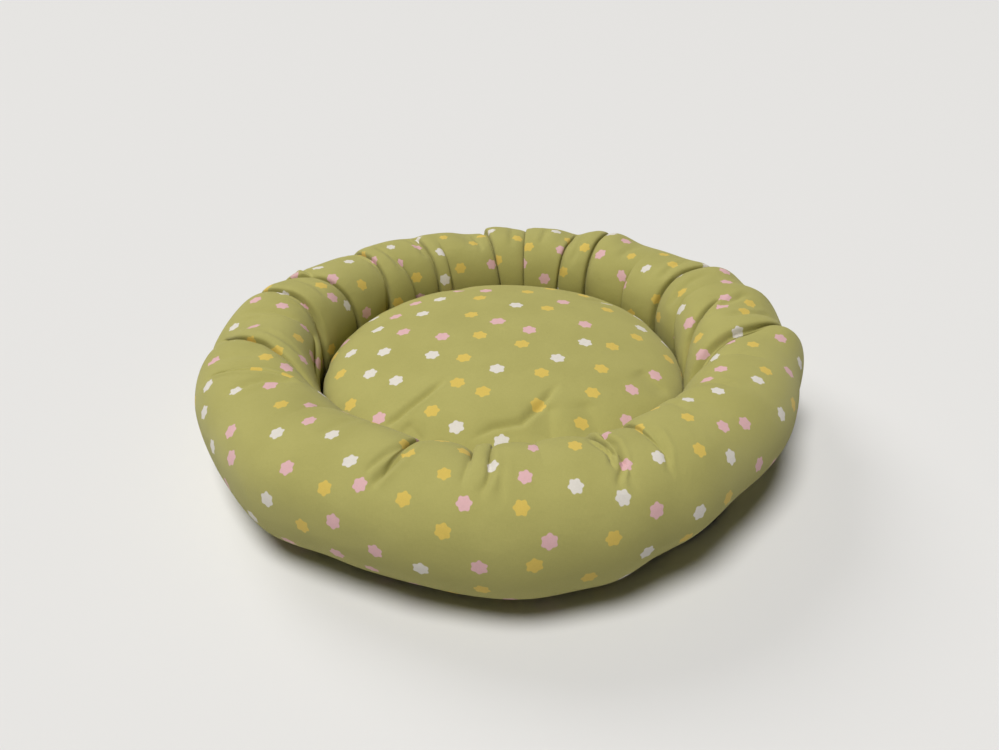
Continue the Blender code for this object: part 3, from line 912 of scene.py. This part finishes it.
def lamps():
    """The soft lamps, each turned to its azimuth after its tilt."""
    for name, azimuth, tilt, energy, angle in SUNS:
        sun = bpy.data.lights.new(name, "SUN")
        sun.energy = energy
        sun.angle = math.radians(angle)
        sun.color = SUN_COLOUR
        lamp = bpy.data.objects.new(name, sun)
        lean = Matrix.Rotation(math.radians(tilt), 4, "Y")
        lamp.matrix_world = Matrix.Rotation(math.radians(azimuth), 4, "Z") @ lean
        bpy.context.scene.collection.objects.link(lamp)


def studio():
    paper_floor()
    pale_world()
    lamps()
    bpy.context.scene.view_settings.view_transform = "Standard"


# ---- base ----
BASE_AROUND = 360
BASE_CLOTH = 0.0012
SOLE_LOW = 0.0009
SOLE_FLAT = 0.2300
SOLE_ROWS = 40
RIM_ROWS = 14
RIM_RISE = 0.0058
LIP_RADIUS = 0.2492
FRILL_OUT, OUT_WAVES = 0.0006, (21, 10, 60)
FRILL_UP, UP_WAVES = 0.0005, (22, 10, 60)
NEST_RADIUS = 0.2225
NEST_ROWS = 60
NEST_SEAM = 0.016
NEST_PUCKER = 0.0009
NEST_WAVE, NEST_WAVES = 0.0003, (31, 8, 8)

# The black lip shows past the ring at one place, low on the right.
LIP_SHOWS = 0.0085
LIP_SHOWS_AT = 316.0
LIP_ENDS = (15.0, 5.0)

# The grip dots stand in a triangular pattern. Each is rings of points: share of its radius, height.
DOT_PITCH = 0.0125
DOT_ROW = 0.866 * DOT_PITCH
DOT_RADIUS = 0.0024
DOT_SIDES = 12
DOT_RINGS = ((1.0, SOLE_LOW + 0.0003), (0.92, 0.00035), (0.60, 0.00005))


def base_sole():
    """The dark cloth underneath as a grid, from its middle out to the seam under the ring."""
    azimuth = azimuths(BASE_AROUND)
    flat = np.linspace(MIDDLE_HOLE, SOLE_FLAT, SOLE_ROWS)[None, :] + 0.0 * azimuth
    angle = np.linspace(0.0, 1.0, RIM_ROWS)[None, 1:] * 0.5 * np.pi
    away = np.degrees(azimuth) - LIP_SHOWS_AT
    lip = LIP_RADIUS + LIP_SHOWS * smooth(*LIP_ENDS, np.abs(away))
    rim_radius = SOLE_FLAT + (lip - SOLE_FLAT) * np.sin(angle)
    rim_height = SOLE_LOW + RIM_RISE * (1.0 - np.cos(angle)) + 0.0 * azimuth
    radius = np.concatenate([flat, rim_radius], axis=1)
    height = np.concatenate([SOLE_LOW + 0.0 * flat, rim_height], axis=1)
    frill = smooth(SOLE_FLAT, LIP_RADIUS, radius)
    radius = radius + FRILL_OUT * frill * ripples(azimuth, 0.0 * radius, *OUT_WAVES)
    height = height + FRILL_UP * frill * ripples(azimuth, 0.0 * radius, *UP_WAVES)
    return placed(azimuth, radius, np.maximum(height, SOLE_LOW))


def nest_floor():
    """The printed cloth on the base pad as a grid, from the ring's inner seam to its middle."""
    azimuth = azimuths(BASE_AROUND)
    radius = np.linspace(NEST_RADIUS, MIDDLE_HOLE, NEST_ROWS)[None, :] + 0.0 * azimuth
    edge = smooth(NEST_RADIUS - NEST_SEAM, NEST_RADIUS, radius)
    height = FLOOR_TOP - NEST_PUCKER * edge * (1.0 + pucker(azimuth))
    height = height + NEST_WAVE * ripples(azimuth, radius * 50.0, *NEST_WAVES) * (1.0 - edge)
    return placed(azimuth, radius, height)


def tube_faces(first, rings, sides):
    """Faces of a closed tube, from its rings of points: its wall and its two ends."""
    faces = []
    for ring in range(rings - 1):
        for side in range(sides):
            a = first + ring * sides + side
            b = first + ring * sides + (side + 1) % sides
            faces.append((a, b, b + sides, a + sides))
    faces.append([first + side for side in reversed(range(sides))])
    faces.append([first + (rings - 1) * sides + side for side in range(sides)])
    return faces


def dot_places():
    """The middles of the grip dots, in staggered rows inside the sole's flat."""
    rows = int(SOLE_FLAT / DOT_ROW) + 1
    for row in range(-rows, rows + 1):
        for step in range(-rows - 2, rows + 3):
            x = DOT_PITCH * (step + 0.5 * (row % 2))
            y = DOT_ROW * row
            if math.hypot(x, y) <= SOLE_FLAT - 1.5 * DOT_RADIUS:
                yield x, y


def grip_dots():
    """Small raised rubber dots all over the sole, which the bed stands on."""
    turns = np.linspace(2.0 * np.pi, 0.0, DOT_SIDES, endpoint=False)
    vertices, faces = [], []
    for x, y in dot_places():
        faces += tube_faces(len(vertices), len(DOT_RINGS), DOT_SIDES)
        for share, height in DOT_RINGS:
            reach = DOT_RADIUS * share
            vertices += [(x + reach * math.cos(turn), y + reach * math.sin(turn), height) for turn in turns]
    mesh = bpy.data.meshes.new("grip_dots")
    mesh.from_pydata(vertices, [], faces)
    return mesh


# ---- zip ----
COIL_PITCH = 0.0013
COIL_LOOP = 0.00085
COIL_FLATNESS = 0.55
COIL_APART = 0.00062
COIL_WIRE = 0.00024
COIL_WIRE_SIDES = 5
COIL_STEPS = 10
COIL_HALF_ANGLE = math.radians(44.0)

# A stitch: places along its pitch and its thickness at each, as shares. It runs along the upper
# panel's and the lower panel's row.
STITCH_PITCH = 0.0030
STITCH_PLACES = (0.08, 0.25, 0.50, 0.70)
STITCH_THICKNESS = (0.35, 1.0, 1.0, 0.35)
STITCH_RADIUS = 0.00026
STITCH_SIDES = 6
STITCH_LIFT = 0.0002
STITCH_ROWS = (3, -5)


def sweep(name, route, radius, sides):
    """A round wire along a route of points, closed at both ends."""
    tangent = np.gradient(route, axis=0)
    tangent /= np.linalg.norm(tangent, axis=1, keepdims=True)
    side = np.cross(tangent, np.array([0.0, 0.0, 1.0]))
    side /= np.maximum(np.linalg.norm(side, axis=1, keepdims=True), 1e-9)
    up = np.cross(side, tangent)
    turn = azimuths(sides)[None, :, :]
    ring = side[:, None, :] * np.cos(turn) + up[:, None, :] * np.sin(turn)
    points = route[:, None, :] + radius * ring
    return grid_mesh(name, points.transpose(1, 0, 2), caps=(0, -1))


def zip_coil(side):
    """One half of the zip's coil: a nylon wire wound along the opening's edge."""
    count = int(2.0 * COIL_HALF_ANGLE * SEAM_RADIUS / COIL_PITCH) * COIL_STEPS
    azimuth = math.radians(ZIP_MIDDLE) + np.linspace(-COIL_HALF_ANGLE, COIL_HALF_ANGLE, count)
    phase = np.arange(count) * 2.0 * math.pi / COIL_STEPS + (0.0 if side > 0 else math.pi)
    radius = SEAM_RADIUS + COIL_LOOP * COIL_FLATNESS * np.cos(phase)
    height = EDGE_HEIGHT + side * COIL_APART + COIL_LOOP * np.sin(phase)
    return placed(azimuth, radius, height)


def stitch(line, walked, start):
    """The points of one stitch: rings across its path, thin at both ends."""
    upright = np.array([0.0, 0.0, 1.0])
    points = []
    for share, thickness in zip(STITCH_PLACES, STITCH_THICKNESS):
        at = start + STITCH_PITCH * share
        middle = np.array([np.interp(at, walked, line[:, axis]) for axis in range(3)])
        outward = middle * (1.0 - upright) / np.hypot(middle[0], middle[1])
        for turn in azimuths(STITCH_SIDES)[:, 0]:
            ring = outward * math.cos(turn) + upright * math.sin(turn)
            points.append(tuple(middle + STITCH_RADIUS * thickness * ring))
    return points


def zip_stitches(upper, lower):
    """Two lines of short stitches, along one row of each panel beside the zip."""
    vertices, faces = [], []
    for panel, row in zip((upper, lower), STITCH_ROWS):
        line = (panel + normals(panel) * STITCH_LIFT)[:, row]
        azimuth = np.degrees(np.arctan2(line[:, 1], line[:, 0]))
        line = line[np.abs(azimuth - ZIP_MIDDLE) < ZIP_HALF_ANGLE + 1.0]
        lengths = np.linalg.norm(np.diff(line, axis=0), axis=1)
        walked = np.concatenate([[0.0], np.cumsum(lengths)])
        for start in np.arange(0.0, walked[-1] - STITCH_PITCH, STITCH_PITCH):
            faces += tube_faces(len(vertices), len(STITCH_PLACES), STITCH_SIDES)
            vertices += stitch(line, walked, start)
    mesh = bpy.data.meshes.new("zip_stitches")
    mesh.from_pydata(vertices, [], faces)
    mesh.polygons.foreach_set("use_smooth", np.ones(len(faces), bool))
    return mesh


def metal(name, colour, roughness):
    """Satin metal with a little wear in its tone and gloss."""
    graph = Graph(name)
    place = graph.node("ShaderNodeTexCoord").outputs["Object"]
    wear = graph.noise(place, 900.0, 3.0)
    tone = graph.mix(wear, (*colour, 1.0), tuple(0.8 * c for c in colour) + (1.0,))
    graph.put(graph.shader.inputs["Base Color"], tone)
    graph.shader.inputs["Metallic"].default_value = 1.0
    graph.put(graph.shader.inputs["Roughness"], graph.math("MULTIPLY_ADD", wear, 0.25, roughness))
    graph.put(graph.shader.inputs["Normal"], graph.bump(wear, 0.00005, 0.5))
    return graph.material


# ---- build ----
# Where on the endless print each round panel is cut from.
TOP_CUT = (3.0, 3.0)
BOTTOM_CUT = (4.0, 4.0)
NEST_CUT = (5.0, 5.0)


def build_ring(cotton, fibre):
    tube = np.linspace(-90.0, 270.0, ACROSS)
    degrees, crest, span, panels = ring_columns(tube)
    points = ring_points(degrees, crest, span, tube)
    cloth = ring_cloth(points, degrees, crest, panels, tube)
    mesh = grid_mesh("ring_cover", points, cloth, closed_across=True)
    cover = add("ring_cover", mesh, "bed", "print_cotton", cotton, "bolster_cover")
    smooth_tube = ring_tube(degrees, tube)[::4, ::3]
    core = smooth_tube - normals(smooth_tube) * FILL_INSET
    core[:, :, 2] = np.maximum(core[:, :, 2], FILL_LOWEST)
    mesh = grid_mesh("ring_fill", core, closed_across=True)
    fill = add("ring_fill", mesh, "bed", "fibre", fibre, "bolster_fill")


def build_panel(name, panel, look, cut, pole_last, body, node):
    """A round printed panel with its thickness."""
    thickness = BASE_CLOTH if body == "bed" else CUSHION_CLOTH
    cloth = mirrored(disc_cloth(panel, cut, pole_last), pole_last)
    mesh = grid_mesh(name, shell(panel, thickness, pole_last), cloth, caps=(0, -1))
    return add(name, mesh, body, "print_cotton", look, node)


def build_cushion(cotton, upper, lower):
    panels = (("cushion_top", upper, TOP_CUT, True), ("cushion_bottom", lower, BOTTOM_CUT, False))
    for name, panel, cut, pole_last in panels:
        made = build_panel(name, panel, cotton, cut, pole_last, "cushion", name + "_panel")


def build_inside(liner, fibre):
    """The cushion's liner, in two halves, and its stuffing."""
    inner = cushion_core(LINER_INSET)
    seam = CORE_ROWS - 2
    halves = (("top", inner[:, seam + 1:], True), ("bottom", inner[:, :seam + 1], False))
    for half, panel, pole_last in halves:
        name = "liner_" + half + "_case"
        mesh = grid_mesh(name, shell(panel, LINER_CLOTH, pole_last), caps=(0, -1))
        add(name, mesh, "cushion", "liner_cloth", liner, "liner_" + half)
    mesh = grid_mesh("cushion_stuffing", cushion_core(STUFFING_INSET), caps=(0, -1))
    stuffing = add("cushion_stuffing", mesh, "cushion", "fibre", fibre, "cushion_fill")


def build_base(cotton, grip, rubber):
    mesh = grid_mesh("base_sole", shell(base_sole(), BASE_CLOTH, False), caps=(0, -1))
    add("base_sole", mesh, "bed", "grip_cloth", grip, "base_bottom_panel")
    add("grip_dots", grip_dots(), "bed", "grip_cloth", rubber)
    build_panel("nest_floor", nest_floor(), cotton, NEST_CUT, True, "bed", "base_top_panel")


def build_zip(upper, lower, nylon, thread):
    for side, name in ((1.0, "upper"), (-1.0, "lower")):
        mesh = sweep("coil_" + name, zip_coil(side), COIL_WIRE, COIL_WIRE_SIDES)
        add("coil_" + name, mesh, "cushion", "nylon", nylon, "zip_coil_" + name)
    add("zip_stitches", zip_stitches(upper, lower), "cushion", "nylon", thread)


def finish_nodes(fibre, tape, nickel):
    """Better materials for the CAD nodes whose shapes stay."""
    finishes = {
        fibre: ("base_pad",),
        tape: ("gather_tape", "zip_tape_upper", "zip_tape_lower"),
        nickel: ("zip_stop_closed", "zip_stop_open", "zip_slider", "zip_pull"),
    }
    for material, names in finishes.items():
        for name in names:
            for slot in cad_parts[name].material_slots:
                slot.material = material


cotton = print_cotton()
fibre = plain_cloth("fibre", (0.80, 0.79, 0.75), 300.0)
grip = plain_cloth("grip_cloth", (0.020, 0.020, 0.022), 900.0)
rubber = plain_cloth("grip_rubber", (0.012, 0.012, 0.013), 1500.0, 0.55)
tape = plain_cloth("zip_tape", (0.34, 0.33, 0.13), 1200.0)
liner = plain_cloth("liner_cloth", (0.72, 0.71, 0.68), 700.0)
nylon = plain_cloth("coil_nylon", (0.30, 0.29, 0.12), 1500.0, 0.4)
thread = plain_cloth("stitch_thread", (0.42, 0.41, 0.17), 2500.0, 0.7)
nickel = metal("zip_metal", (0.62, 0.60, 0.55), 0.28)

upper, lower = cushion_upper(), cushion_lower()
build_ring(cotton, fibre)
build_cushion(cotton, upper, lower)
build_inside(liner, fibre)
build_base(cotton, grip, rubber)
build_zip(upper, lower, nylon, thread)
finish_nodes(fibre, tape, nickel)

camera()
studio()
